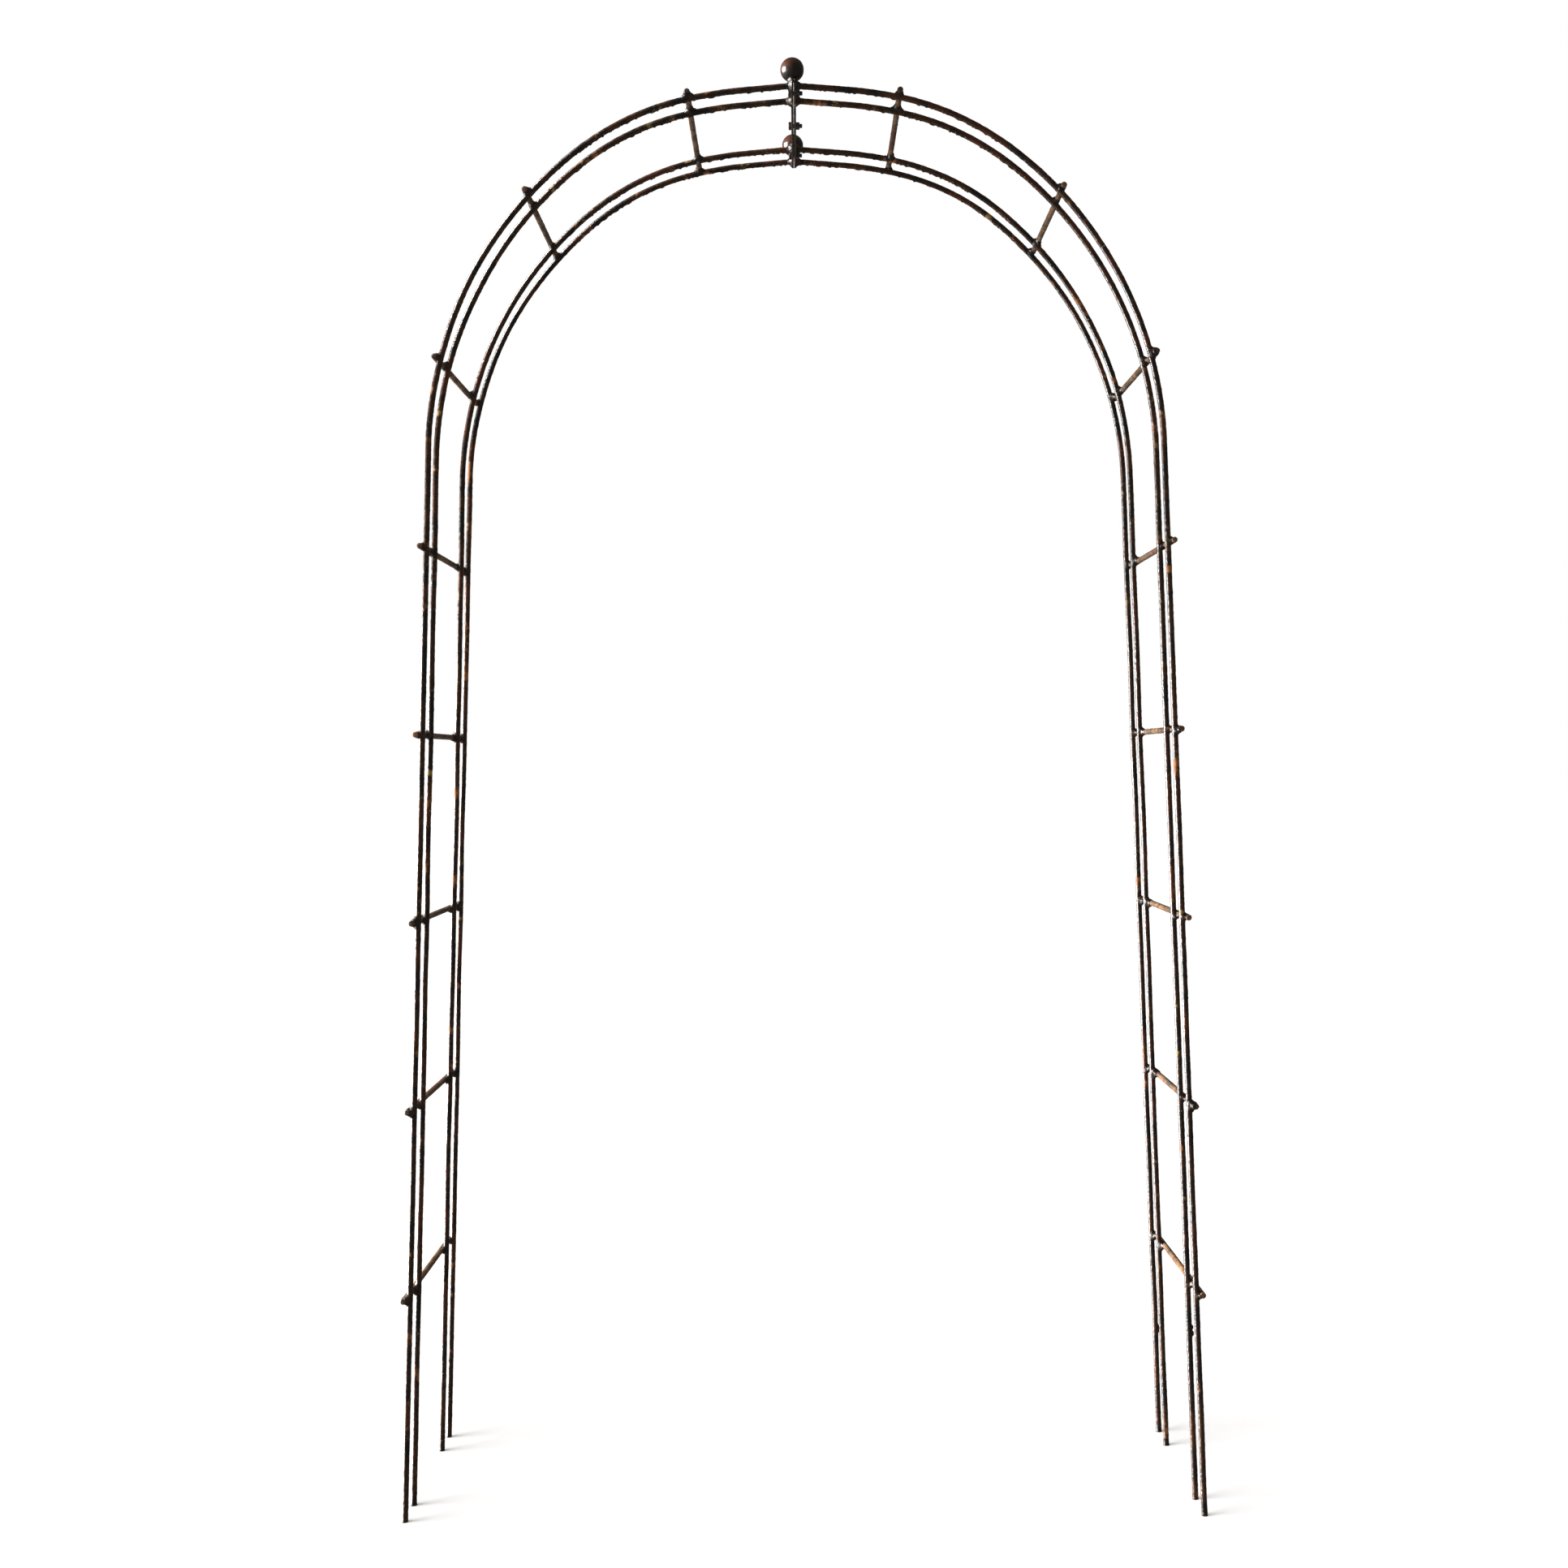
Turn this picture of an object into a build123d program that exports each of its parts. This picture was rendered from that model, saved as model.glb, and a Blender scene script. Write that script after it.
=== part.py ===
"""Metal trellis arch: two welded ladder halves of round bar, bolted together at the crown.

Each half has four bent bars in parallel upright planes and eight straight rungs that lie on
the outside of the bars. The bar ends at the top are welded to a flat crown plate. The two
plates are bolted face to face, and the left one carries two ball finials.

Frame: the origin is on the ground under the middle of the arch. X runs across the walkway,
Y runs along it from front to rear, and Z is up. All lengths are in millimetres.
"""
from build123d import *

import os
from math import cos, radians, tan

os.makedirs("parts", exist_ok=True)

# ---------------------------------------------------------------- driving dimensions
bar_diameter = 10.0  # round bar, used for the bent bars and for the rungs

# Bent bars, seen from the front. Turns are in degrees, from the leg up to the crown.
foot_half_span = 694.0  # middle of the arch to the bar's centre line at the ground
leg_lean = 1.7  # each leg leans inwards by this angle
leg_height = 1865.0  # the straight leg ends here and the bend begins
haunch_radius, haunch_turn = 675.0, 49.0
shoulder_radius, shoulder_turn = 485.0, 27.0
crown_radius, crown_turn = 750.0, 7.5

# Ladder, seen from the side
ladder_depth = 400.0  # first bar's centre line to the last bar's
pair_spacing = 72.0  # centre distance within each close pair of bars
rung_count = 8
first_rung = 384.0  # along the bar from the ground to the lowest rung
rung_pitch = 327.5
rung_overhang = 10.0  # rung beyond the outer bars' centre lines, at each end
rung_edge = 1.2  # rounding of the sawn rung ends
weld_gap = 0.2  # root gap between two bars that cross
weld_reach = 9.0  # leg of the weld in each corner of a crossing
weld_depth = 3.5  # the weld stands this far to each side of the contact

# Crown plates and their bolts
plate_height, plate_thickness = 20.0, 4.0
plate_gap = 0.6  # between the two plates' faces
plate_corner = 1.5
crown_weld_leg = 4.5  # weld round each bar end on the plate
bolt_diameter, bolt_length = 8.0, 20.0  # M8 x 20
bolt_hole = 9.0
head_across_flats, head_thickness = 13.0, 5.3
nut_thickness = 6.5
nut_clearance = 0.2
hex_chamfer = 0.6

# Ball finials
ball_diameter = 40.0
ball_setback = 6.0  # ball centre inside the outer bar's centre line
ball_weld_radius = 7.5

# ---------------------------------------------------------------- derived sizes
bar_radius = bar_diameter / 2
outer_row = ladder_depth / 2
inner_row = outer_row - pair_spacing
bar_rows = (-outer_row, -inner_row, inner_row, outer_row)  # front to rear
rung_length = ladder_depth + 2 * rung_overhang
knee_half_span = foot_half_span - leg_height * tan(radians(leg_lean))
plate_face = plate_gap / 2  # inner face of a plate
plate_back = plate_face + plate_thickness  # outer face, where the bars are welded
bolt_rows = (-(outer_row + inner_row) / 2, 0.0, (outer_row + inner_row) / 2)
overrun = 2 * bar_diameter  # bars are swept past their ends, then cut flush

sides = {"left": -1, "right": 1}


def save(piece, name):
    """Label a finished piece and write it as its own STEP file."""
    piece.part.label = name
    export_step(piece.part, f"parts/{name}.step")


def bar_line(side, row):
    """Centre line of one bent bar, from below the ground to past the crown plate."""
    with BuildLine(Plane.XZ.offset(-row)) as line:
        below = (side * (foot_half_span + overrun * tan(radians(leg_lean))), -overrun)
        leg = Line(below, (side * knee_half_span, leg_height))
        haunch = JernArc(leg @ 1, leg % 1, haunch_radius, side * haunch_turn)
        shoulder = JernArc(haunch @ 1, haunch % 1, shoulder_radius, side * shoulder_turn)
        crown = JernArc(shoulder @ 1, shoulder % 1, crown_radius, side * crown_turn)
        Line(crown @ 1, crown @ 1 + crown % 1 * (abs((crown @ 1).X) + overrun))
    return line.wire()


def bar(side, row):
    """A bent bar, cut level with the ground at its foot and flush with its plate at the top."""
    path = bar_line(side, row)
    with BuildPart() as bent:
        with BuildSketch(Plane(origin=path @ 0, z_dir=path % 0)):
            Circle(bar_radius)
        sweep(path=path)
        split(bisect_by=Plane.XY, keep=Keep.TOP)
        split(bisect_by=Plane.YZ.offset(side * plate_back), keep=Keep.TOP if side > 0 else Keep.BOTTOM)
    return bent


def rung_place(side, number):
    """Centre of a rung in the X-Z plane, and the planes in which it touches its bars."""
    path = bar_line(side, 0)
    along = first_rung + number * rung_pitch + overrun / cos(radians(leg_lean))
    on_line = path.position_at(along, position_mode=PositionMode.LENGTH)
    heading = path.tangent_at(along, position_mode=PositionMode.LENGTH)
    outward = Vector(side * heading.Z, 0, -side * heading.X)
    centre = on_line + outward * (bar_diameter + weld_gap)
    touch = on_line + outward * (bar_radius + weld_gap / 2)
    contacts = [Plane(touch + Vector(0, row, 0), x_dir=(0, 1, 0), z_dir=outward) for row in bar_rows]
    return centre, contacts


def rung(centre):
    """A straight rung, from front to rear across all four bars of its half."""
    with BuildPart() as cross:
        with BuildSketch(Plane(origin=(centre.X, -rung_length / 2, centre.Z), z_dir=(0, 1, 0))):
            Circle(bar_radius)
        extrude(amount=rung_length)
        fillet(cross.edges().filter_by(GeomType.CIRCLE), rung_edge)
    return cross


def crown_height():
    """Height at which the bars' centre lines reach their plate, the same on both halves."""
    line = bar_line(1, 0)
    end, heading = line @ 1, line % 1
    return end.Z - heading.Z / heading.X * (end.X - plate_back)


# ---------------------------------------------------------------- ladder halves
for half, side in sides.items():
    bars = [bar(side, row) for row in bar_rows]
    for number, bent in enumerate(bars, start=1):
        save(bent, f"{half}_bar_{number}")

    rungs = []
    contacts = []
    for number in range(rung_count):
        centre, touches = rung_place(side, number)
        cross = rung(centre)
        save(cross, f"{half}_rung_{number + 1}")
        rungs.append(cross)
        contacts += touches

    # A weld at every crossing fills the four corners between the rung and the bar.
    with BuildPart() as rung_welds:
        with BuildSketch(*contacts):
            RegularPolygon(weld_reach, 4)
        extrude(amount=weld_depth, both=True)
        add([piece.part for piece in bars + rungs], mode=Mode.SUBTRACT)
    save(rung_welds, f"{half}_rung_welds")

# ---------------------------------------------------------------- crown plates
crown_z = crown_height()

for half, side in sides.items():
    with BuildPart() as plate:
        with BuildSketch(Plane.YZ.offset(side * plate_face)) as outline:
            with Locations((0, crown_z)):
                Rectangle(rung_length, plate_height)
                fillet(outline.vertices(), plate_corner)
            with Locations(*[(row, crown_z) for row in bolt_rows]):
                Circle(bolt_hole / 2, mode=Mode.SUBTRACT)
        extrude(amount=side * plate_thickness)
    save(plate, f"{half}_crown_plate")

    # A fillet weld runs round each bar end, wide at the plate and thin along the bar.
    with BuildPart() as crown_welds:
        for row in bar_rows:
            with BuildSketch(Plane.YZ.offset(side * plate_back)):
                with Locations((row, crown_z)):
                    Circle(bar_radius + crown_weld_leg)
            with BuildSketch(Plane.YZ.offset(side * (plate_back + crown_weld_leg))):
                with Locations((row, crown_z)):
                    Circle(bar_radius + weld_gap)
            loft()
        for row in bar_rows:
            add(bar(side, row).part, mode=Mode.SUBTRACT)
    save(crown_welds, f"{half}_crown_welds")

# ---------------------------------------------------------------- bolts and nuts
head_back = Plane.YZ.offset(-plate_back)
nut_back = Plane.YZ.offset(plate_back)
bolt_places = [(row, crown_z) for row in bolt_rows]
hex_radius = head_across_flats / 2 / cos(radians(30))

with BuildPart() as bolts:
    with BuildSketch(head_back):
        with Locations(*bolt_places):
            RegularPolygon(hex_radius, 6)
    extrude(amount=-head_thickness)
    chamfer(bolts.faces().sort_by(Axis.X)[:3].edges(), hex_chamfer)
    with BuildSketch(head_back):
        with Locations(*bolt_places):
            Circle(bolt_diameter / 2)
    extrude(amount=bolt_length)
    chamfer(bolts.faces().sort_by(Axis.X)[-3:].edges(), hex_chamfer)
save(bolts, "crown_bolts")

with BuildPart() as nuts:
    with BuildSketch(nut_back):
        with Locations(*bolt_places):
            RegularPolygon(hex_radius, 6)
    extrude(amount=nut_thickness)
    chamfer(nuts.faces().sort_by(Axis.X)[-3:].edges(), hex_chamfer)
    with BuildSketch(nut_back):
        with Locations(*bolt_places):
            Circle((bolt_diameter + nut_clearance) / 2)
    extrude(amount=nut_thickness, mode=Mode.SUBTRACT)
save(nuts, "crown_nuts")

# ---------------------------------------------------------------- ball finials
# Both balls sit on the left plate's top edge, so the halves still come apart.
plate_middle = -(plate_face + plate_thickness / 2)
plate_top = crown_z + plate_height / 2
ball_radius = ball_diameter / 2
ball_rows = {"front_finial": -(outer_row - ball_setback), "rear_finial": outer_row - ball_setback}
balls = []

for name, row in ball_rows.items():
    with BuildPart() as ball:
        with Locations((plate_middle, row, plate_top + ball_radius)):
            Sphere(ball_radius)
    save(ball, name)
    balls.append(ball)

weld_rise = ball_radius - (ball_radius**2 - ball_weld_radius**2) ** 0.5
with BuildPart() as ball_welds:
    with BuildSketch(Plane.XY.offset(plate_top)):
        with Locations(*[(plate_middle, row) for row in ball_rows.values()]):
            Circle(ball_weld_radius)
    extrude(amount=weld_rise)
    for ball in balls:
        add(ball.part, mode=Mode.SUBTRACT)
    split(bisect_by=Plane.YZ, keep=Keep.BOTTOM)
save(ball_welds, "finial_welds")
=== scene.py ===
"""Looks of the metal trellis arch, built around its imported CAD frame.

Each piece below stands for one CAD node and takes its place from that node's box. Round
bars are swept tubes with a rough skin. Welds, plates, bolts and nuts are sculpted: a
distance field says how far a point is from the metal, and sculpt() meshes its surface.

Lengths are in metres. Fields work in millimetres, in a frame of their own at the piece:
u, v and w are the axes of that frame.
"""

from itertools import count, product
from math import cos, pi, radians, sin, tan

import bmesh
import bpy
import numpy as np
from mathutils import Matrix, Vector


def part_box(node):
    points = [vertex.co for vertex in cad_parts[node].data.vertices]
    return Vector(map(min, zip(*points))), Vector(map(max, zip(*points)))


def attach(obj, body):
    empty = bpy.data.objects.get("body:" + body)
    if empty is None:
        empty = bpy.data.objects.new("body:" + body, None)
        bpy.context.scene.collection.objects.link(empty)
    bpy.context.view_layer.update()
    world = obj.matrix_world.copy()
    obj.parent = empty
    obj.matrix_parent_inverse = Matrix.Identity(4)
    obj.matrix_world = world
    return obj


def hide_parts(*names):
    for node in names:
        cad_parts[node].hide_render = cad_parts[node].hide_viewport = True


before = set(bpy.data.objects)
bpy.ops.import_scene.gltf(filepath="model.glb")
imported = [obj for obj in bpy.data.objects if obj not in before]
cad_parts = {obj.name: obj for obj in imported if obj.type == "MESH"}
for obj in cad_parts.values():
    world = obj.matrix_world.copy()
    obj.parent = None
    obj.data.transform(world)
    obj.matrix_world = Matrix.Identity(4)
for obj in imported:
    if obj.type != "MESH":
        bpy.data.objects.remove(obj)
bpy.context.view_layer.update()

# ---------------------------------------------------------------- sizes
MM = 0.001
SIDES = {"left": -1, "right": 1}
ROWS = [sum(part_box(f"left_bar_{k}")[i].y for i in (0, 1)) / 2 for k in (1, 2, 3, 4)]
BAR_LOW, BAR_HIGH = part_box("right_bar_1")
BAR_RADIUS = (BAR_HIGH.y - BAR_LOW.y) / 2
RUNG_COUNT = 8

# The bars' centre line, seen from the front: a leaning leg, three bends, a straight end.
LEG_LEAN = radians(1.7)
LEG_HEIGHT = 1865 * MM
BENDS = ((675 * MM, radians(49)), (485 * MM, radians(27)), (750 * MM, radians(7.5)))
FIRST_RUNG, RUNG_PITCH = 384 * MM, 327.5 * MM
RUNG_PLACES = FIRST_RUNG + RUNG_PITCH * np.arange(RUNG_COUNT)
RUNG_EDGE = 1.6 * MM  # rounding of the sawn rung ends
WELD_GAP = 0.2 * MM

PLATE_LOW, PLATE_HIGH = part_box("right_crown_plate")
BOLT_LOW, BOLT_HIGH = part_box("crown_bolts")
NUT_LOW, NUT_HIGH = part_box("crown_nuts")
CROWN_Z = (PLATE_LOW.z + PLATE_HIGH.z) / 2
BOLT_ROWS = [(ROWS[0] + ROWS[1]) / 2, 0.0, (ROWS[2] + ROWS[3]) / 2]

# Hand work: how the metal strays from its drawing.
WANDER, WANDER_LENGTH = 1.4 * MM, 0.35  # the bars bow sideways between welds
FLARE_DEPTH = 2.2 * MM  # the shears spread a bar's tip over about this length
# How far the tips are spread, in millimetres: most of them, and those cut with blunt shears
SLIGHT_FLARE, FLARES = 0.15, {("left", 2): 0.9, ("right", 3): 0.9, ("right", 4): 1.1}
KNOBBLY_FROM, KNOBBLY_TO = 2.28, 2.42  # height over which the scale turns knobbly overhead
# Lumps left by moved rungs: bar, distance below the lowest rung, and radius in millimetres
SCARS = {"right": ((2, 79 * MM, 2.6), (2, 90 * MM, 3.2), (4, 183 * MM, 5.0))}

# Reach of the dark scale round each weld
BAR_HEAT, BAR_END_HEAT, RUNG_HEAT = 13 * MM, 12 * MM, 15 * MM

RING_STEP, RING_SIDES = 2.0 * MM, 16  # mesh of the swept bars
BALL_SUBDIVISIONS = 6


# ---------------------------------------------------------------- noise
def lattice(ix, iy, iz, seed):
    """Pseudo-random numbers from -1 to 1 at whole-number grid points."""
    mask = 0xFFFFFFFF
    h = (ix * 374761393 + iy * 668265263 + iz * 1442695041 + seed * 1274126177) & mask
    h = ((h ^ (h >> 13)) * 1274126177) & mask
    return ((h ^ (h >> 16)) & 0xFFFF) / 32767.5 - 1


def noise(points, seed):
    """Smooth noise from -1 to 1 with features about one unit across."""
    cell = np.floor(points).astype(np.int64)
    t = points - cell
    t = t * t * (3 - 2 * t)
    total = 0
    for corner in product((0, 1), repeat=3):
        near = np.abs(1 - np.array(corner) - t)
        weight = near[..., 0] * near[..., 1] * near[..., 2]
        ix, iy, iz = np.moveaxis(cell + corner, -1, 0)
        total = total + weight * lattice(ix, iy, iz, seed)
    return total


def smoothstep(value, start, end):
    """0 before start, 1 after end, and a smooth rise between them."""
    t = np.clip((value - start) / (end - start), 0, 1)
    return t * t * (3 - 2 * t)


# ---------------------------------------------------------------- meshes
def piece(name, points, faces, node, slot, heat=None):
    """A new object that stands for a CAD node, in its slot's finish and with its weld heat."""
    mesh = bpy.data.meshes.new(name)
    mesh.from_pydata(points.tolist(), [], faces)
    mesh.materials.append(FINISH[slot])
    mesh.shade_smooth()
    marks = mesh.attributes.new("heat", "FLOAT", "POINT")
    marks.data.foreach_set("value", np.zeros(len(mesh.vertices)) if heat is None else heat)
    obj = bpy.data.objects.new(name, mesh)
    bpy.context.scene.collection.objects.link(obj)
    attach(obj, "root")
    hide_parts(node)


def tube_faces(rings, sides, flip):
    """Faces of a tube with end caps whose points are listed ring by ring.

    Flip turns them outwards where the points run round the tube the other way.
    """
    ring, side = np.meshgrid(np.arange(rings - 1), np.arange(sides), indexing="ij")
    after = (side + 1) % sides
    near, far = ring * sides, (ring + 1) * sides
    faces = np.stack([near + side, near + after, far + after, far + side], -1).reshape(-1, 4).tolist()
    faces.append(list(range(sides))[::-1])
    faces.append([(rings - 1) * sides + i for i in range(sides)])
    return [face[::-1] for face in faces] if flip else faces


def sculpt(field, low, high, step):
    """Points and quads of the surface where the field is zero, by surface nets on a cubic grid."""
    axes = [np.arange(a, b + step, step) for a, b in zip(low, high)]
    grid = np.stack(np.meshgrid(*axes, indexing="ij"), -1)
    value = field(grid)
    cells = tuple(n - 1 for n in value.shape)
    # Each cell that the surface crosses gets a point, the mean of the crossings on its edges.
    total, hits, edges = np.zeros((*cells, 3)), np.zeros(cells), []
    for axis in range(3):
        near = [slice(None)] * 3
        far = [slice(None)] * 3
        near[axis], far[axis] = slice(None, -1), slice(1, None)
        a, b = value[tuple(near)], value[tuple(far)]
        crossed = (a < 0) != (b < 0)
        share = np.where(crossed, a / np.where(crossed, a - b, 1), 0)
        point = grid[tuple(near)].copy()
        point[..., axis] += share * step
        point *= crossed[..., None]
        edges.append((crossed, a < 0))
        others = [k for k in range(3) if k != axis]
        for i in (0, 1):
            for j in (0, 1):
                part = [slice(None)] * 3
                part[others[0]] = slice(i, i + cells[others[0]])
                part[others[1]] = slice(j, j + cells[others[1]])
                total += point[tuple(part)]
                hits += crossed[tuple(part)]
    used = hits > 0
    index = np.full(cells, -1)
    index[used] = np.arange(used.sum())
    points = total[used] / hits[used][:, None]
    # Each grid edge that the surface crosses gets a quad between the four cells around it.
    faces = []
    for axis, (crossed, starts_inside) in enumerate(edges):
        u, v = (axis + 1) % 3, (axis + 2) % 3
        place = np.argwhere(crossed)
        inner = (place[:, u] > 0) & (place[:, v] > 0) & (place[:, u] < cells[u]) & (place[:, v] < cells[v])
        place = place[inner]
        corners = []
        for du, dv in ((1, 1), (0, 1), (0, 0), (1, 0)):
            spot = place.copy()
            spot[:, u] -= du
            spot[:, v] -= dv
            corners.append(index[tuple(spot.T)])
        quads = np.stack(corners, -1)
        flip = ~starts_inside[tuple(place.T)]
        quads[flip] = quads[flip][:, ::-1]
        faces.append(quads)
    return points, np.concatenate(faces)


def joined(lumps):
    """Points of several sculpted lumps in one array, and their faces in one list."""
    points, faces, base = [], [], 0
    for lump_points, lump_faces in lumps:
        points.append(lump_points)
        faces.append(lump_faces + base)
        base += len(lump_points)
    return np.concatenate(points), np.concatenate(faces).tolist()


def turned(faces, mirrored):
    """The faces, turned over if their lump was mirrored on its way into place."""
    return faces[:, ::-1] if mirrored else faces


# ---------------------------------------------------------------- materials
class Paint:
    """A node material in the making: short calls for the nodes that the finishes share."""

    def __init__(self, name):
        self.material = bpy.data.materials.new(name)
        self.material.use_nodes = True
        self.tree = self.material.node_tree
        self.shader = self.tree.nodes["Principled BSDF"]
        self.place = self.tree.nodes.new("ShaderNodeTexCoord").outputs["Object"]

    def link(self, source, socket):
        """Feeds a node's output into a socket."""
        self.tree.links.new(source, socket)

    def feed(self, source, name):
        """Feeds a node's output into one of the shader's sockets."""
        self.link(source, self.shader.inputs[name])

    def set(self, **values):
        """Constant values, straight on the shader's own sockets."""
        for name, value in values.items():
            self.shader.inputs[name.replace("_", " ")].default_value = value

    def noise(self, size, detail, roughness, shift=0.0):
        """Noise whose features are about size across. Layers with other shifts do not coincide."""
        mapping = self.tree.nodes.new("ShaderNodeMapping")
        self.link(self.place, mapping.inputs["Vector"])
        mapping.inputs["Location"].default_value = (shift, shift * 0.7, shift * 1.3)
        node = self.tree.nodes.new("ShaderNodeTexNoise")
        self.link(mapping.outputs["Vector"], node.inputs["Vector"])
        node.inputs["Scale"].default_value = 1 / size
        node.inputs["Detail"].default_value = detail
        node.inputs["Roughness"].default_value = roughness
        return node.outputs["Fac"]

    def step(self, value, start, end, low=0.0, high=1.0):
        """Maps start..end to low..high with a smooth rise."""
        node = self.tree.nodes.new("ShaderNodeMapRange")
        node.interpolation_type = "SMOOTHSTEP"
        self.link(value, node.inputs["Value"])
        for name, number in (("From Min", start), ("From Max", end), ("To Min", low), ("To Max", high)):
            node.inputs[name].default_value = number
        return node.outputs["Result"]

    def patches(self, size, start, end, share=1.0, detail=5, roughness=0.6, shift=0.0):
        """Patches about size across: share inside them and 0 between them."""
        return self.step(self.noise(size, detail, roughness, shift), start, end, 0.0, share)

    def math(self, kind, a, b):
        """Arithmetic on two values, each a node's output or a number."""
        node = self.tree.nodes.new("ShaderNodeMath")
        node.operation = kind
        for source, socket in ((a, node.inputs[0]), (b, node.inputs[1])):
            if isinstance(source, (int, float)):
                socket.default_value = source
            else:
                self.link(source, socket)
        return node.outputs["Value"]

    def mix(self, share, a, b):
        """Colour a where share is 0 and b where it is 1."""
        node = self.tree.nodes.new("ShaderNodeMix")
        node.data_type = "RGBA"
        self.link(share, node.inputs["Factor"])
        for source, socket in ((a, node.inputs["A"]), (b, node.inputs["B"])):
            if isinstance(source, tuple):
                socket.default_value = (*source, 1)
            else:
                self.link(source, socket)
        return node.outputs["Result"]

    def heat(self):
        """The mesh's weld heat: 1 at a weld, 0 away from it."""
        node = self.tree.nodes.new("ShaderNodeAttribute")
        node.attribute_name = "heat"
        return node.outputs["Fac"]

    def bump(self, height, distance, strength):
        """Fine relief, too small to be in the mesh."""
        node = self.tree.nodes.new("ShaderNodeBump")
        node.inputs["Distance"].default_value = distance
        node.inputs["Strength"].default_value = strength
        self.link(height, node.inputs["Height"])
        self.feed(node.outputs["Normal"], "Normal")


BLACK_SCALE = (0.007, 0.0055, 0.005)
DARK_BROWN = (0.026, 0.0122, 0.0055)
RED_BROWN = (0.046, 0.0155, 0.0065)
ORANGE_RUST = (0.17, 0.060, 0.014)
OCHRE = (0.19, 0.115, 0.028)
GREY_GREEN = (0.105, 0.120, 0.085)
PALE_FLECK = (0.42, 0.40, 0.33)
RUNG_GREY = (0.034, 0.022, 0.013)
RUNG_BROWN = (0.100, 0.054, 0.027)
PLATE_BROWN = (0.030, 0.018, 0.011)
ZINC = (0.12, 0.12, 0.125)
ZINC_FILM = (0.035, 0.026, 0.020)
VARNISHED_RUST = (0.042, 0.0125, 0.006)
VARNISHED_SPOT = (0.010, 0.006, 0.005)


def rusted(name, dark, brown, rust_cover, fleck_cover, roughness):
    """Weathered mill steel: black scale under brown rust, with orange patches and pale flecks.

    The roughness given is that of the scale. Rust is rougher, and welds leave burnt scale.
    """
    paint = Paint(name)
    blend = paint.patches(0.035, 0.38, 0.62, detail=6, roughness=0.65)
    colour = paint.mix(blend, dark, brown)
    redder = paint.patches(0.090, 0.50, 0.66, share=0.8, shift=3.1)
    colour = paint.mix(redder, colour, RED_BROWN)
    orange = paint.patches(0.060, 0.64 - rust_cover, 0.74 - rust_cover,
                           detail=6, roughness=0.68, shift=7.7)
    colour = paint.mix(orange, colour, ORANGE_RUST)
    ochre = paint.patches(0.028, 0.63, 0.72, share=0.8, shift=1.9)
    colour = paint.mix(ochre, colour, OCHRE)
    green = paint.patches(0.016, 0.70 - fleck_cover, 0.77 - fleck_cover,
                          share=0.75, detail=4, shift=5.3)
    colour = paint.mix(green, colour, GREY_GREEN)
    pale = paint.patches(0.0045, 0.74, 0.80, share=0.8, detail=2, roughness=0.5, shift=9.4)
    colour = paint.mix(pale, colour, PALE_FLECK)
    burnt = paint.step(paint.heat(), 0.15, 0.85, 0.0, 0.92)
    paint.feed(paint.mix(burnt, colour, BLACK_SCALE), "Base Color")
    worn = paint.step(paint.math("MAXIMUM", orange, ochre), 0, 1, roughness, 0.82)
    fine = paint.step(paint.noise(0.006, 4, 0.6, shift=2.2), 0.3, 0.7, -0.06, 0.10)
    paint.feed(paint.math("ADD", worn, fine), "Roughness")
    paint.set(Specular_IOR_Level=0.28)
    paint.bump(paint.noise(0.0028, 5, 0.6, shift=4.2), 0.0007, 0.6)
    return paint.material


def bar_finish():
    """Nearly black scale with brown rust, half glossy."""
    return rusted("weathered_bar_steel", BLACK_SCALE, DARK_BROWN,
                  rust_cover=0.05, fleck_cover=0.01, roughness=0.24)


def rung_finish():
    """Greyer, paler and duller than the bars, with more flecks."""
    return rusted("weathered_rung_steel", RUNG_GREY, RUNG_BROWN,
                  rust_cover=0.07, fleck_cover=0.06, roughness=0.42)


def plate_finish():
    """Like the bars, with less orange and more flecks."""
    return rusted("weathered_plate_steel", BLACK_SCALE, PLATE_BROWN,
                  rust_cover=0.02, fleck_cover=0.06, roughness=0.30)


def weld_finish():
    """Burnt weld metal: near black, with a little brown bloom and a half-gloss skin."""
    paint = Paint("burnt_weld_metal")
    bloom = paint.patches(0.010, 0.42, 0.62, share=0.9)
    colour = paint.mix(bloom, BLACK_SCALE, DARK_BROWN)
    rust = paint.patches(0.018, 0.64, 0.74, share=0.8, roughness=0.65, shift=6.1)
    paint.feed(paint.mix(rust, colour, ORANGE_RUST), "Base Color")
    paint.feed(paint.step(paint.noise(0.004, 4, 0.6, shift=1.1), 0.3, 0.7, 0.26, 0.52), "Roughness")
    paint.set(Specular_IOR_Level=0.35)
    paint.bump(paint.noise(0.0022, 5, 0.65, shift=3.3), 0.0007, 0.7)
    return paint.material


def fastener_finish():
    """Dulled zinc on the bolts and nuts, darkened with a brown film."""
    paint = Paint("dull_dark_zinc")
    film = paint.patches(0.006, 0.40, 0.62, roughness=0.65)
    paint.feed(paint.mix(film, ZINC, ZINC_FILM), "Base Color")
    paint.feed(paint.step(film, 0, 1, 0.30, 0.60), "Roughness")
    paint.set(Metallic=0.85)
    paint.bump(paint.noise(0.0016, 4, 0.6, shift=3.7), 0.0003, 0.5)
    return paint.material


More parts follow.
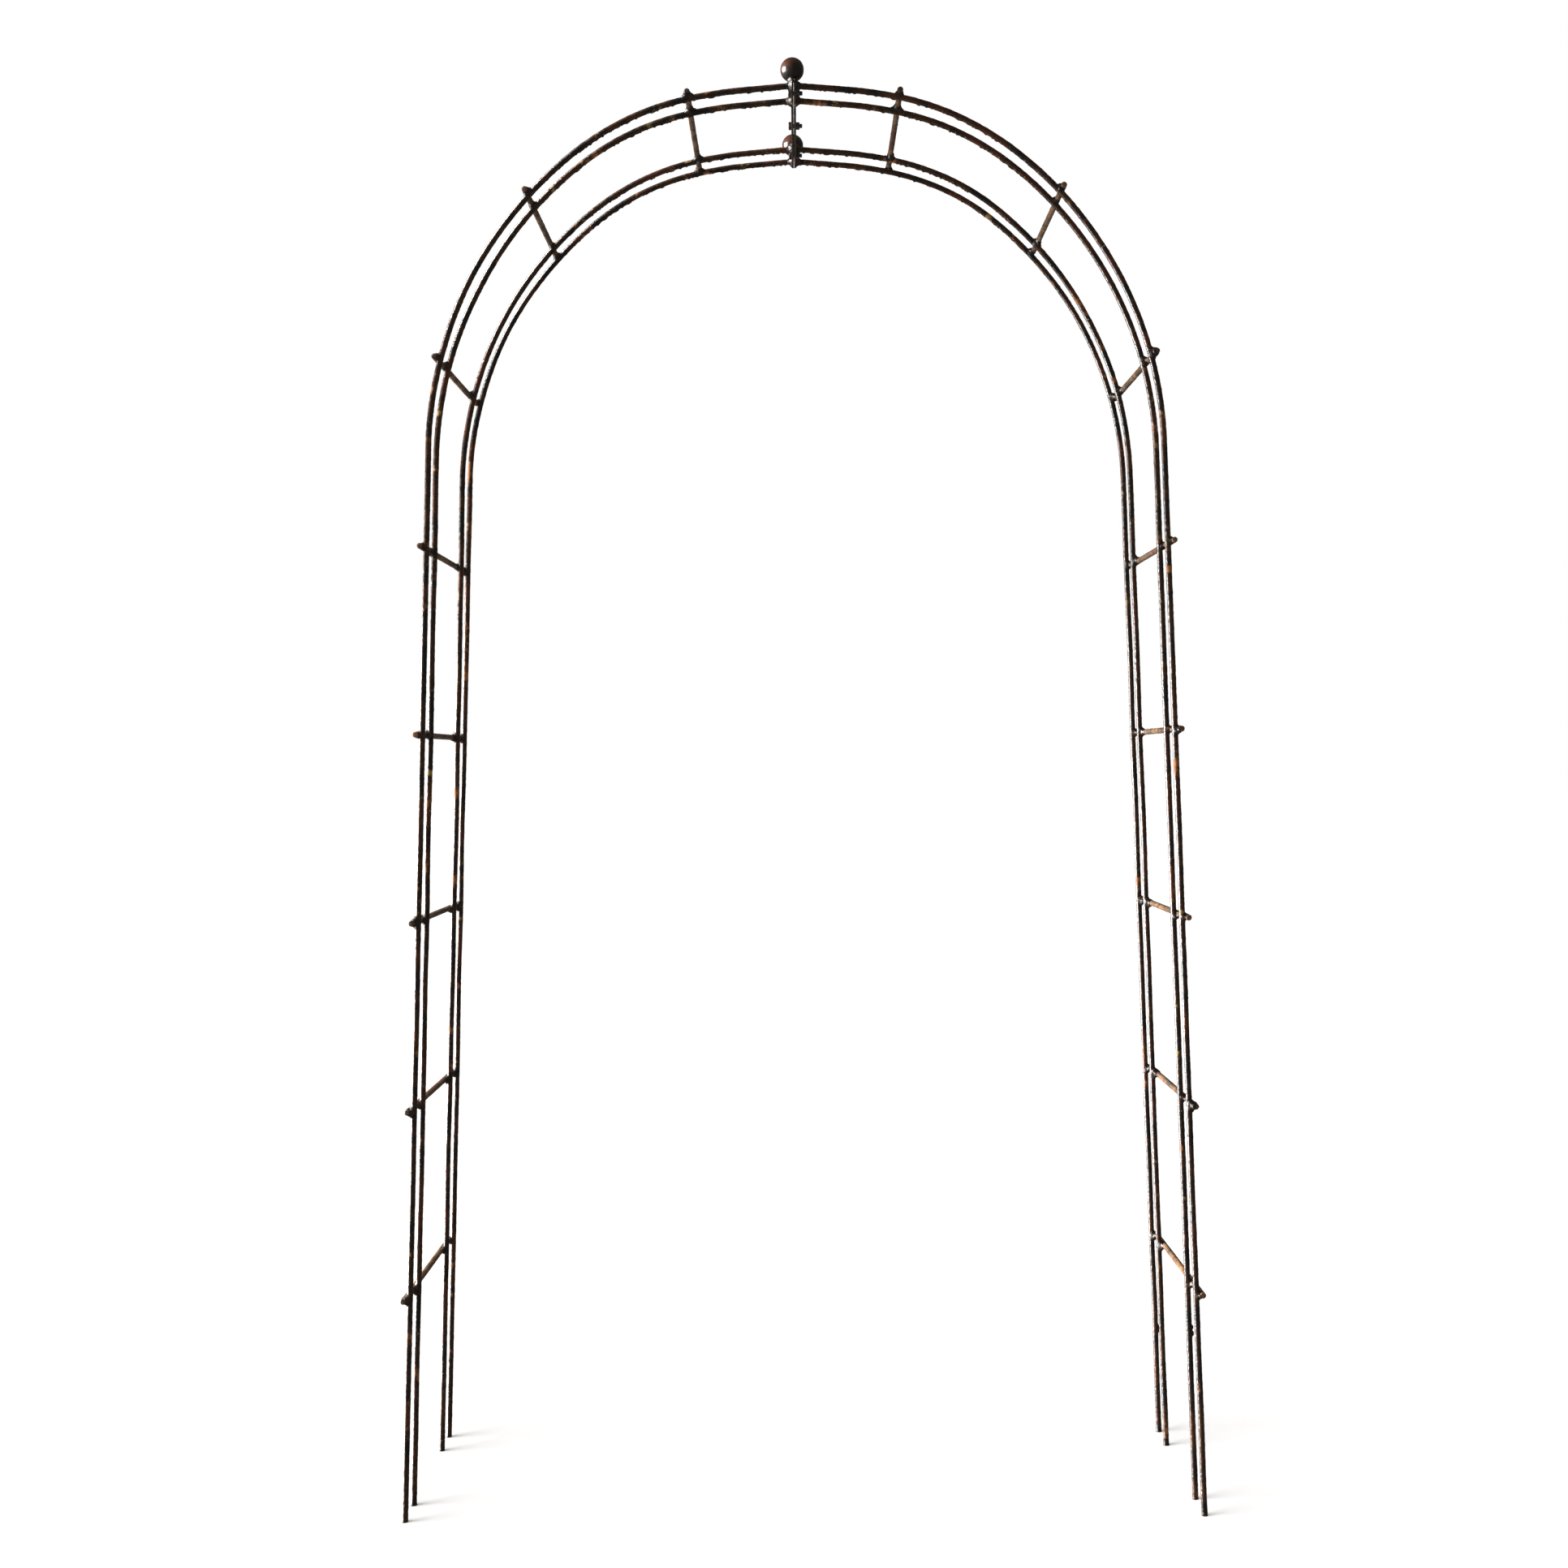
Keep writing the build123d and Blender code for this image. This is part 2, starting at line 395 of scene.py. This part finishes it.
def ball_finish():
    """Glossy varnish over rust. Red-brown on the upper left is painted light where the light falls; near
    black below and on the right is painted shade. The near-black patches are the ball's own spots.
    """
    paint = Paint("varnished_ball")
    split = paint.tree.nodes.new("ShaderNodeSeparateXYZ")
    paint.link(paint.place, split.inputs["Vector"])
    # Painted light and shade: the rust colour shows only on the upper left, the side the light falls on,
    # and the ball turns near black towards the lower right as painted shade.
    rightwards = paint.math("MULTIPLY", split.outputs["X"], 0.6)
    upper_left = paint.math("SUBTRACT", split.outputs["Z"], rightwards)
    lit_side = paint.step(upper_left, CROWN_Z + 0.024, CROWN_Z + 0.044)
    cloud = paint.math("MULTIPLY", paint.patches(0.014, 0.40, 0.60), 0.5)
    red = paint.math("MULTIPLY", lit_side, paint.math("ADD", cloud, 0.5))
    # Black scale here is painted shade on the ball's lower right, and rust red is painted light on its
    # upper left.
    colour = paint.mix(red, BLACK_SCALE, VARNISHED_RUST)
    spot = paint.patches(0.008, 0.62, 0.72, share=0.7, detail=4, shift=4.4)
    paint.feed(paint.mix(spot, colour, VARNISHED_SPOT), "Base Color")
    paint.feed(paint.step(paint.noise(0.006, 4, 0.6, shift=2.7), 0.3, 0.7, 0.28, 0.45), "Roughness")
    paint.set(Coat_Weight=0.8, Coat_Roughness=0.05, Specular_IOR_Level=0.15)
    paint.bump(paint.noise(0.0030, 4, 0.6, shift=8.1), 0.0002, 0.4)
    return paint.material


FINISH = {
    "weathered_bar": bar_finish(),
    "weathered_rung": rung_finish(),
    "weathered_plate": plate_finish(),
    "weld": weld_finish(),
    "fastener": fastener_finish(),
    "varnished_ball": ball_finish(),
}


# ---------------------------------------------------------------- the bars' centre line
def centre_line_spans():
    """Straight and bent spans of the centre line: (start length, half-span, height, lean, radius)."""
    foot = BAR_HIGH.x - BAR_RADIUS / cos(LEG_LEAN)
    spans = [(0.0, foot, 0.0, LEG_LEAN, None)]
    length = LEG_HEIGHT / cos(LEG_LEAN)
    x, z, lean = foot - LEG_HEIGHT * tan(LEG_LEAN), LEG_HEIGHT, LEG_LEAN
    for radius, turn in BENDS:
        spans.append((length, x, z, lean, radius))
        x -= radius * (cos(lean) - cos(lean + turn))
        z += radius * (sin(lean + turn) - sin(lean))
        length += radius * turn
        lean += turn
    spans.append((length, x, z, lean, None))
    return spans


SPANS = centre_line_spans()
BAR_LENGTH = SPANS[-1][0] + (SPANS[-1][1] - PLATE_HIGH.x) / sin(SPANS[-1][3])


def centre_line(along):
    """Half-span, height and lean of the centre line at lengths along it from the ground."""
    along = np.asarray(along, float)
    x, z, lean = np.zeros_like(along), np.zeros_like(along), np.zeros_like(along)
    for start, x0, z0, lean0, radius in SPANS:
        here = along >= start
        run = along[here] - start
        if radius is None:
            lean[here] = lean0
            x[here] = x0 - run * sin(lean0)
            z[here] = z0 + run * cos(lean0)
        else:
            lean[here] = lean0 + run / radius
            x[here] = x0 - radius * (cos(lean0) - np.cos(lean[here]))
            z[here] = z0 + radius * (np.sin(lean[here]) - sin(lean0))
    return x, z, lean


# ---------------------------------------------------------------- bars and rungs
def warmth(distance, reach):
    """Weld heat: 1 at a weld, fading over about that reach."""
    return np.exp(-((distance / reach) ** 2))


def round_section():
    """Cosines and sines of the points round a bar's section."""
    angle = np.arange(RING_SIDES) * 2 * pi / RING_SIDES
    return np.cos(angle), np.sin(angle)


def rough_skin(points, knobbly, seed):
    """Height of the scale on a bar's skin, with high nodules where knobbly is near 1."""
    p = points / MM
    skin = 0.16 + 0.16 * noise(p / 7, seed) + 0.14 * noise(p / 3.2, seed + 1)
    nodules = smoothstep(noise(p / 4.2, seed + 2) + 0.5 * noise(p / 2.1, seed + 3), 0.05, 0.75)
    return (skin + 1.15 * knobbly * nodules) * MM


def swept_bar(half, side, number, seed):
    """One bent bar. Its tip is flared by the shears, and it wanders a little between welds."""
    row = ROWS[number - 1]
    along = np.linspace(0, BAR_LENGTH, round(BAR_LENGTH / RING_STEP))
    x, z, lean = centre_line(along)
    free = np.sin(pi * (along - FIRST_RUNG) / RUNG_PITCH) ** 2
    free = np.where(along > RUNG_PLACES[-1], 0, free)
    path = np.stack([along / WANDER_LENGTH, np.zeros_like(along), np.zeros_like(along)], -1)
    wander_out = WANDER * free * noise(path, seed)
    wander_row = WANDER * free * noise(path, seed + 5)

    across, sideways = round_section()
    outward = np.stack([side * np.cos(lean), np.zeros_like(lean), np.sin(lean)], -1)
    centre = np.stack([side * x, row + wander_row, z], -1) + outward * wander_out[:, None]
    direction = outward[:, None, :] * across[None, :, None]
    direction[..., 1] += sideways[None, :]

    overhead = smoothstep(z, KNOBBLY_FROM, KNOBBLY_TO)[:, None]
    underside = smoothstep(-direction[..., 2], -0.1, 0.8)
    ideal = centre[:, None, :] + direction * BAR_RADIUS
    flare = FLARES.get((half, number), SLIGHT_FLARE) * MM * np.exp(-along / FLARE_DEPTH)
    radius = BAR_RADIUS + flare[:, None]
    radius = radius + rough_skin(ideal, 0.30 + overhead * (1.20 * underside - 0.10), seed)
    points = centre[:, None, :] + direction * radius[..., None]
    points[0, :, 2] = 0
    points[-1, :, 0] = side * PLATE_HIGH.x

    to_rung = np.abs(along[:, None] - RUNG_PLACES[None, :]).min(1)
    heat = np.maximum(warmth(to_rung, BAR_HEAT), warmth(BAR_LENGTH - along, BAR_END_HEAT))
    faces = tube_faces(len(along), RING_SIDES, flip=side < 0)
    piece(f"bar_{half}_{number}", points.reshape(-1, 3), faces, f"{half}_bar_{number}",
          "weathered_bar", np.repeat(heat, RING_SIDES))


def swept_rung(half, number, seed):
    """One straight rung with sawn, slightly rounded ends."""
    node = f"{half}_rung_{number}"
    low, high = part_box(node)
    middle = (low + high) / 2
    tip = np.array([0, 0.25, 0.6]) * RUNG_EDGE
    body = np.linspace(low.y + RUNG_EDGE, high.y - RUNG_EDGE, round((high.y - low.y) / RING_STEP))
    y = np.concatenate([low.y + tip, body, high.y - tip[::-1]])
    to_end = np.minimum(y - low.y, high.y - y)
    into_edge = np.maximum(RUNG_EDGE - to_end, 0)
    drop = RUNG_EDGE - np.sqrt(np.maximum(RUNG_EDGE**2 - into_edge**2, 0))

    direction = np.zeros((len(y), RING_SIDES, 3))
    direction[..., 0], direction[..., 2] = round_section()
    centre = np.stack([np.full_like(y, middle.x), y, np.full_like(y, middle.z)], -1)[:, None, :]
    skin = rough_skin(centre + direction * BAR_RADIUS, 0.25, seed)
    radius = BAR_RADIUS - drop[:, None] + skin
    points = centre + direction * radius[..., None]
    to_bar = np.abs(y[:, None] - np.array(ROWS)[None, :]).min(1)
    faces = tube_faces(len(y), RING_SIDES, flip=True)
    piece(f"rung_{half}_{number}", points.reshape(-1, 3), faces, node,
          "weathered_rung", np.repeat(warmth(to_bar, RUNG_HEAT), RING_SIDES))


# ---------------------------------------------------------------- welds
R = BAR_RADIUS / MM
LIFT = 2 * R + WELD_GAP / MM  # a rung's axis above the bars' axes
RUNG_STUB = R + 4.6  # an outer weld reaches this far along the rung, just short of its end
WELD_GRAIN, SMALL_WELD_GRAIN = 1.0, 0.8  # mesh of the welds


def blended(a, b, reach):
    """Union of two distance fields with a hollow fillet of about that reach between them."""
    h = np.maximum(reach - np.abs(a - b), 0) / reach
    return np.minimum(a, b) - h * h * reach / 4


def crossing_weld(centre, up, out, rung_end, rng, seed):
    """Weld round one crossing. Up runs along the bar to the crown, out from the bar to the rung.

    Rung_end is -1 or 1 where the rung ends just past the bar, and 0 where it runs on.
    """
    reach, heavier = rng.uniform(9.5, 14), rng.uniform(-0.35, 0.35)
    rim = 0.85 * reach + 4.0  # by this distance the weld has sunk into the bars
    size = rim + 4.0

    def field(p):
        u, v, w = p[..., 0], p[..., 1], p[..., 2]
        bar = np.hypot(v, w) - R
        rung = np.hypot(u, w - LIFT) - R + 0.3
        if rung_end:
            rung = np.maximum(rung, rung_end * v - RUNG_STUB)
        local = reach * (1 + heavier * np.tanh(u / 3) + 0.22 * noise(p / 6, seed))
        metal = blended(bar, rung, local)
        metal = metal + 0.45 * noise(p / 3.4, seed + 1) + 0.25 * noise(p / 1.8, seed + 2)
        away = np.sqrt(u * u + v * v + (w - R) ** 2)
        sunk = 3.0 * smoothstep(away + 1.2 * noise(p / 4, seed + 3), rim - 4.5, rim)
        return np.maximum(metal + sunk, away - rim - 2.5)

    points, faces = sculpt(field, (-size, -size, -size + R), (size, size, size + R), WELD_GRAIN)
    return centre + points @ np.array([up, (0, 1, 0), out]) * MM, faces


def scar(side, number, along, radius):
    """A lump of old weld on a bar's outer side, where a rung was first set and then moved."""
    x, z, lean = (values[0] for values in centre_line([along]))
    axes = np.array([(-side * sin(lean), 0, cos(lean)), (0, 1, 0), (side * cos(lean), 0, sin(lean))])

    def field(p):
        u, v, w = p[..., 0], p[..., 1], p[..., 2]
        lump = np.sqrt((u / 1.7) ** 2 + v**2 + (w - R) ** 2) - radius
        lump = lump + 0.5 * noise(p / 3, number) + 0.25 * noise(p / 1.5, number + 1)
        return np.maximum(blended(lump, np.hypot(v, w) - R + 0.9, 3.0), np.abs(u) - 2.2 * radius)

    size = 2.2 * radius + 1
    points, faces = sculpt(field, (-size, -8, -8), (size, 8, 8 + radius), SMALL_WELD_GRAIN)
    centre = np.array([side * x, ROWS[number - 1], z])
    return centre + points @ axes * MM, turned(faces, side > 0)


def rung_welds(half, side, rng):
    """All crossings of one half as a single piece, with the scars of moved rungs."""
    lumps = []
    x, z, lean = centre_line(RUNG_PLACES)
    for number in range(RUNG_COUNT):
        up = (-side * sin(lean[number]), 0, cos(lean[number]))
        out = (side * cos(lean[number]), 0, sin(lean[number]))
        for k, (row, rung_end) in enumerate(zip(ROWS, (-1, 0, 0, 1))):
            centre = np.array([side * x[number], row, z[number]])
            points, faces = crossing_weld(centre, up, out, rung_end, rng, 100 * number + 10 * k + side)
            lumps.append((points, turned(faces, side > 0)))
    for bar_number, drop, radius in SCARS.get(half, ()):
        lumps.append(scar(side, bar_number, FIRST_RUNG - drop, radius))
    piece(f"welds_at_{half}_rungs", *joined(lumps), f"{half}_rung_welds", "weld")


rng = np.random.default_rng(7)
seeds = count(11, 11)  # a seed of its own for each bar and rung
for half, side in SIDES.items():
    for number in range(1, len(ROWS) + 1):
        swept_bar(half, side, number, next(seeds))
    for number in range(1, RUNG_COUNT + 1):
        swept_rung(half, number, next(seeds))
    rung_welds(half, side, rng)


# ---------------------------------------------------------------- crown
# Sizes for the fields, in millimetres
HOLE_RADIUS = 4.5
PLATE_HALF_THICKNESS, PLATE_HALF_HEIGHT = 2.0, 10.0
THREAD_RADIUS, THREAD_PITCH, THREAD_DEPTH = 4.0, 1.25, 0.65  # M8
CHAMFER_SIN, CHAMFER_COS = 0.5, 0.87  # the cones turned on bolt heads and nuts slope by 30 degrees
CROWN_RIM, FINIAL_RIM = 12, 11  # by this distance a weld has sunk into the plate and bar
PLATE_GRAIN, FASTENER_GRAIN = 0.7, 0.3  # mesh of the plates, and of the bolts and nuts


def block(p, half_sizes, rounding):
    """Distance to a block about the origin with rounded edges."""
    q = np.abs(p) - np.array(half_sizes) + rounding
    outside = np.sqrt((np.maximum(q, 0) ** 2).sum(-1))
    return outside + np.minimum(q.max(-1), 0) - rounding


def crown_plate(half, seed):
    """A flat bar with three bolt holes, cut and drilled by hand."""
    node = f"{half}_crown_plate"
    low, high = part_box(node)
    centre = np.array((low + high) / 2)
    sizes = np.array((high - low) / 2) / MM

    def field(p):
        flat = block(p, sizes, 0.7) + 0.16 * noise(p / 9, seed) + 0.12 * noise(p / 3.5, seed + 1)
        for row in BOLT_ROWS:
            flat = np.maximum(flat, HOLE_RADIUS - np.hypot(p[..., 1] - row / MM, p[..., 2]))
        return flat

    points, faces = sculpt(field, -sizes - 1, sizes + 1, PLATE_GRAIN)
    piece(f"plate_{half}", centre + points * MM, faces.tolist(), node, "weathered_plate")


def crown_welds(half, side, rng, seed):
    """A fillet of weld round each bar end where it meets its plate."""
    lean = centre_line([BAR_LENGTH])[2][0]
    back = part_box(f"{half}_crown_plate")[0 if side < 0 else 1].x
    stretch = (PLATE_HALF_THICKNESS, 60, PLATE_HALF_HEIGHT)
    lumps = []
    for k, row in enumerate(ROWS):
        reach = rng.uniform(11, 15)
        pull = rng.uniform(-1, 1, 2)

        def field(p):
            u, v, w = p[..., 0], p[..., 1], p[..., 2]
            bar = np.hypot(v, w * sin(lean) + u * cos(lean)) - R
            plate = block(p + (PLATE_HALF_THICKNESS, 0, 0), stretch, 0.7)
            uneven = 0.15 * (pull[0] * v + pull[1] * w) / R + 0.2 * noise(p / 5, seed + k)
            metal = blended(bar, plate, np.maximum(reach * (1 + uneven), 4))
            metal = metal + 0.4 * noise(p / 3.2, seed + k + 9)
            away = np.sqrt(u * u + v * v + w * w)
            sunk = 1.6 * smoothstep(away, CROWN_RIM - 3, CROWN_RIM)
            return np.maximum(np.maximum(metal + sunk, away - CROWN_RIM - 1), -1.5 - u)

        size = CROWN_RIM + 2
        points, faces = sculpt(field, (-3, -size, -size), (size, size, size), SMALL_WELD_GRAIN)
        place = np.array([back, row, CROWN_Z])
        lumps.append((place + points * (side, 1, 1) * MM, turned(faces, side < 0)))
    piece(f"welds_at_{half}_plate", *joined(lumps), f"{half}_crown_welds", "weld")


def hexagon(v, w, across, turn):
    """Distance to a hexagonal prism's sides."""
    angles = turn + np.arange(3) * pi / 3
    return np.max([np.abs(v * cos(a) + w * sin(a)) for a in angles], 0) - across / 2


def fasteners(rng):
    """The three bolts as one piece and their nuts as another, each turned a little."""
    bolts, nuts = [], []
    head_face, head_back = BOLT_LOW.x / MM, -PLATE_HIGH.x / MM
    tip, nut_back, nut_face = BOLT_HIGH.x / MM, NUT_LOW.x / MM, NUT_HIGH.x / MM
    head_middle, head_half = (head_face + head_back) / 2, (head_back - head_face) / 2
    nut_middle, nut_half = (nut_face + nut_back) / 2, (nut_face - nut_back) / 2
    across = (NUT_HIGH.z - NUT_LOW.z) / MM
    for number, row in enumerate(BOLT_ROWS):
        turn, nut_turn = pi / 2 + rng.uniform(-0.3, 0.3, 2)
        centre = np.array([0, row, CROWN_Z])

        def bolt(p):
            u, v, w = p[..., 0], p[..., 1], p[..., 2]
            r = np.hypot(v, w)
            head = np.maximum(hexagon(v, w, across, turn), np.abs(u - head_middle) - head_half)
            head = np.maximum(head, r * CHAMFER_SIN + (head_face - u) * CHAMFER_COS - 3.05)
            phase = (u / THREAD_PITCH + np.arctan2(w, v) / (2 * pi)) % 1
            thread = r - THREAD_RADIUS + THREAD_DEPTH * np.abs(2 * phase - 1)
            shank = np.maximum(np.maximum(thread, u - tip), head_back - 1 - u)
            shank = np.maximum(shank, (r + u - tip - THREAD_RADIUS + 1.0) * 0.7)
            return np.minimum(head, shank) + 0.06 * noise(p / 1.8, number)

        def nut(p):
            u, v, w = p[..., 0], p[..., 1], p[..., 2]
            r = np.hypot(v, w)
            body = np.maximum(hexagon(v, w, across, nut_turn), np.abs(u - nut_middle) - nut_half)
            cones = r * CHAMFER_SIN + np.abs(u - nut_middle) * CHAMFER_COS - nut_half * CHAMFER_COS - 3.2
            bore = THREAD_RADIUS + 0.1 - r
            return np.maximum(np.maximum(body, cones), bore) + 0.06 * noise(p / 1.8, number + 5)

        for lumps, shape, low, high in ((bolts, bolt, head_face, tip), (nuts, nut, nut_back, nut_face)):
            points, faces = sculpt(shape, (low - 1, -9, -9), (high + 1, 9, 9), FASTENER_GRAIN)
            lumps.append((centre + points * MM, faces))
    piece("bolts", *joined(bolts), "crown_bolts", "fastener")
    piece("nuts", *joined(nuts), "crown_nuts", "fastener")


def ball(end, seed):
    """A forged ball, a little out of round."""
    node = f"{end}_finial"
    low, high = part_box(node)
    centre, radius = np.array((low + high) / 2), (high.x - low.x) / 2 / MM
    shape = bmesh.new()
    bmesh.ops.create_icosphere(shape, subdivisions=BALL_SUBDIVISIONS, radius=1)
    unit = np.array([v.co for v in shape.verts])
    faces = [[v.index for v in face.verts] for face in shape.faces]
    shape.free()
    dents = 0.55 + 0.35 * noise(unit * 1.3, seed) + 0.12 * noise(unit * 4, seed + 1)
    points = centre + unit * (radius + dents)[:, None] * MM
    piece(f"ball_{end}", points, faces, node, "varnished_ball")
    return centre, radius


def finial_welds(balls):
    """Neck of weld between each ball and the top edge of the left plate."""
    stretch = (PLATE_HALF_THICKNESS, 60, PLATE_HALF_HEIGHT)
    lumps = []
    for number, (centre, radius) in enumerate(balls):
        foot = centre - (0, 0, radius * MM)

        def field(p):
            sphere = np.sqrt((p**2).sum(-1) + radius**2 - 2 * radius * p[..., 2]) - radius
            plate = block(p + (0, 0, PLATE_HALF_HEIGHT), stretch, 0.5)
            metal = blended(sphere, plate, 15 + 3 * noise(p / 5, number))
            metal = metal + 0.35 * noise(p / 3, number + 3)
            away = np.sqrt((p**2).sum(-1))
            sunk = 1.6 * smoothstep(away, FINIAL_RIM - 3, FINIAL_RIM)
            return np.maximum(np.maximum(metal + sunk, away - FINIAL_RIM - 1), p[..., 0] - 2.2)

        size = FINIAL_RIM + 3
        points, faces = sculpt(field, (-FINIAL_RIM - 1, -size, -size), (4, size, size), SMALL_WELD_GRAIN)
        lumps.append((foot + points * MM, faces))
    piece("welds_at_finials", *joined(lumps), "finial_welds", "weld")


for (half, side), plate_seed, weld_seed in zip(SIDES.items(), (300, 310), (400, 420)):
    crown_plate(half, plate_seed)
    crown_welds(half, side, rng, weld_seed)
fasteners(rng)
finial_welds([ball("front", 51), ball("rear", 57)])


# ---------------------------------------------------------------- floor, lights, camera
FLOOR_HALF = 60  # so wide that its edge is out of sight


def lamp(name, kind, place, aim, **settings):
    """A light at a place, shining towards its aim."""
    light = bpy.data.lights.new(name, kind)
    for setting, value in settings.items():
        setattr(light, setting, value)
    obj = bpy.data.objects.new(name, light)
    obj.location = place
    obj.rotation_euler = (Vector(aim) - Vector(place)).to_track_quat("-Z", "Y").to_euler()
    bpy.context.scene.collection.objects.link(obj)
    return obj


def group(name, objects):
    """A collection that a light can be limited to."""
    collection = bpy.data.collections.new(name)
    for obj in objects:
        collection.objects.link(obj)
    return collection


def pale_floor():
    """A wide matt floor. It casts no shadow, so light from a low window passes up through it."""
    mesh = bpy.data.meshes.new("floor")
    corners = [(x * FLOOR_HALF, y * FLOOR_HALF, 0) for x, y in ((-1, -1), (1, -1), (1, 1), (-1, 1))]
    mesh.from_pydata(corners, [], [(0, 1, 2, 3)])
    floor = bpy.data.objects.new("floor", mesh)
    bpy.context.scene.collection.objects.link(floor)
    floor.visible_glossy = floor.visible_shadow = False
    paint = Paint("pale_floor")
    paint.feed(paint.mix(paint.noise(0.8, 3, 0.5), (0.79, 0.79, 0.79), (0.81, 0.81, 0.81)), "Base Color")
    paint.set(Roughness=0.9, Specular_IOR_Level=0.1)
    mesh.materials.append(paint.material)
    return floor


def windows_and_suns(pieces, floor):
    """Soft windows on the left, and even light from above that is stronger on the floor.

    Each lights its own group: the ladders are bars, rungs and their welds, the rest is the crown.
    A spread of less than 180 degrees gathers a window's light straight ahead of it.
    """
    on_ladder = [obj for obj in pieces
                 if obj.name.startswith(("bar", "rung")) or obj.name.endswith("rungs")]
    arch, stage = group("arch", pieces), group("stage", [floor])
    ladders = group("ladders", on_ladder)
    left_ladder = group("left_ladder", [obj for obj in on_ladder if "left" in obj.name])
    crown = group("crown", [obj for obj in pieces if obj not in on_ladder])
    for name, lit, place, aim, width, height, radiance, spread in (
        ("crown_window", crown, (-3.6, -0.25, 2.85), (0, -0.25, 2.4), 2.5, 1.8, 80, 180),
        ("side_window", ladders, (-3.6, 0.6, 0.15), (0, 0, 0.15), 2.2, 3.1, 13, 50),
        ("haunch_window", left_ladder, (-3.3, -0.2, 4.6), (-0.5, 0, 2.2), 1.6, 1.6, 10, 50),
    ):
        window = lamp(name, "AREA", place, aim, shape="RECTANGLE", size=width, size_y=height,
                      energy=radiance * pi * width * height, spread=radians(spread))
        window.light_linking.receiver_collection = lit
    for name, lit, place, energy, angle in (
        ("low_sun", stage, (-4.0, -1.4, 1.9), 3.4, 36),
        ("floor_light", stage, (-1, -1, 4), 2.9, 60),
        ("top_light", arch, (-1, -1, 4), 2.1, 60),
    ):
        sun = lamp(name, "SUN", place, (0, 0, 0), energy=energy, angle=radians(angle))
        sun.light_linking.receiver_collection = lit
        sun.visible_glossy = False


def background():
    """White behind the arch, and a dim warm light from all round."""
    world = bpy.data.worlds.new("studio")
    bpy.context.scene.world = world
    world.use_nodes = True
    tree = world.node_tree
    seen = tree.nodes.new("ShaderNodeLightPath").outputs["Is Camera Ray"]
    tone = tree.nodes.new("ShaderNodeMix")
    tone.data_type = "RGBA"
    tone.inputs["A"].default_value = (0.12, 0.11, 0.10, 1)
    tone.inputs["B"].default_value = (1, 1, 1, 1)
    tree.links.new(seen, tone.inputs["Factor"])
    tree.links.new(tone.outputs["Result"], tree.nodes["Background"].inputs["Color"])


def camera():
    """A view from chest height in front of the walkway, 3.4 m away and rolled by half a degree."""
    data = bpy.data.cameras.new("camera")
    data.lens, data.sensor_width = 41.9, 36
    data.shift_x, data.shift_y = -0.0086, -0.0135
    data.clip_end = 200
    obj = bpy.data.objects.new("camera", data)
    turn = Matrix.Rotation(radians(90), 4, "X") @ Matrix.Rotation(radians(-0.456), 4, "Z")
    obj.matrix_world = Matrix.Translation((-0.0024, -3.3686, 1.3123)) @ turn
    bpy.context.scene.collection.objects.link(obj)
    bpy.context.scene.camera = obj


arch_pieces = [obj for obj in bpy.context.scene.objects if obj.type == "MESH"]
windows_and_suns(arch_pieces, pale_floor())
background()
camera()
bpy.context.scene.view_settings.view_transform = "Standard"
